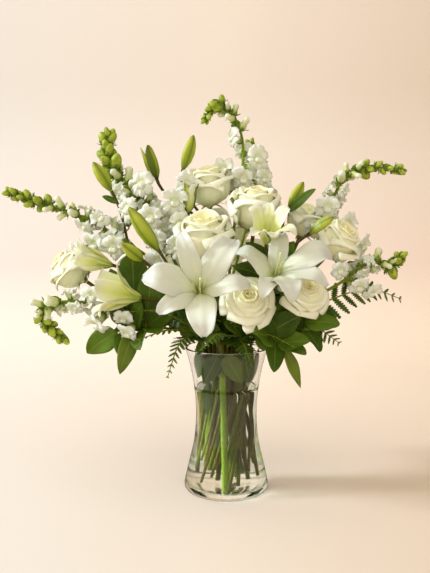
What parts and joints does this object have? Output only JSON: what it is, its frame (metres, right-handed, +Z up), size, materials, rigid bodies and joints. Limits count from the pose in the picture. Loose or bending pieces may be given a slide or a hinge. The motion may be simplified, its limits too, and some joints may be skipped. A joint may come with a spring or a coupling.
{
  "type": "lilies in a vase",
  "caption": "Clear flared vase of water holding a loose arrangement of white lilies, roses and snapdragons with fern and lemon leaf; it stands on its flat foot.",
  "frame": {"origin": "centre of the vase's flat underside", "axes": "+Z up through the vase's mouth, -Y towards the front of the arrangement, +X to its right"},
  "size_m": [0.5615, 0.3618, 0.5513],
  "materials": {
    "vase_glass": "clear and polished",
    "water": "clear, with a level surface",
    "lily_petal": "waxy white with pale green throats",
    "lily_bud": "yellow-green with darker grooves",
    "lily_stem": "fresh green, brown on the flower stalks",
    "rose_petal": "matt ivory with warm centres",
    "rose_stem": "satin green and brown-green",
    "snapdragon": "white flowers, green buds and stem",
    "fern_leaf": "dark green, slightly glossy",
    "lemon_leaf": "dark green, leathery gloss"
  },
  "bodies": {
    "root": {"fern_back_left": "fern_leaf", "fern_back_right": "fern_leaf", "fern_front": "fern_leaf", "fern_front_left": "fern_leaf", "fern_right": "fern_leaf", "lily_bloom_back": "lily_petal", "lily_bloom_far_left": "lily_petal", "lily_bloom_front": "lily_petal", "lily_bloom_left": "lily_petal", "lily_bloom_right": "lily_petal", "lily_bloom_upright": "lily_petal", "lily_bud_far_right": "lily_bud", "lily_bud_large": "lily_bud", "lily_bud_left": "lily_bud", "lily_bud_opening": "lily_bud", "lily_bud_right": "lily_bud", "lily_bud_split": "lily_bud", "lily_bud_top": "lily_bud", "lily_bud_upper_left": "lily_bud", "lily_stem_centre": "lily_stem", "lily_stem_front": "lily_stem", "lily_stem_left": "lily_stem", "lily_stem_right": "lily_stem", "rose_back_left": "rose_petal", "rose_back_left_stem": "rose_stem", "rose_back_right": "rose_petal", "rose_back_right_stem": "rose_stem", "rose_behind_lily": "rose_petal", "rose_behind_lily_stem": "rose_stem", "rose_front": "rose_petal", "rose_front_right": "rose_petal", "rose_front_right_stem": "rose_stem", "rose_front_stem": "rose_stem", "rose_left": "rose_petal", "rose_left_stem": "rose_stem", "rose_right": "rose_petal", "rose_right_back": "rose_petal", "rose_right_back_stem": "rose_stem", "rose_right_stem": "rose_stem", "rose_top_back": "rose_petal", "rose_top_back_stem": "rose_stem", "rose_upper": "rose_petal", "rose_upper_stem": "rose_stem", "snapdragon_back": "snapdragon", "snapdragon_left": "snapdragon", "snapdragon_left_low": "snapdragon", "snapdragon_right": "snapdragon", "snapdragon_right_low": "snapdragon", "snapdragon_top": "snapdragon", "snapdragon_upper_left": "snapdragon", "sprig_back": "lemon_leaf", "sprig_back_left": "lemon_leaf", "sprig_back_right": "lemon_leaf", "sprig_front_left": "lemon_leaf", "sprig_front_right": "lemon_leaf", "sprig_left": "lemon_leaf", "sprig_right": "lemon_leaf", "vase": "vase_glass", "water_lower": "water", "water_upper": "water"}
  },
  "joints": []
}
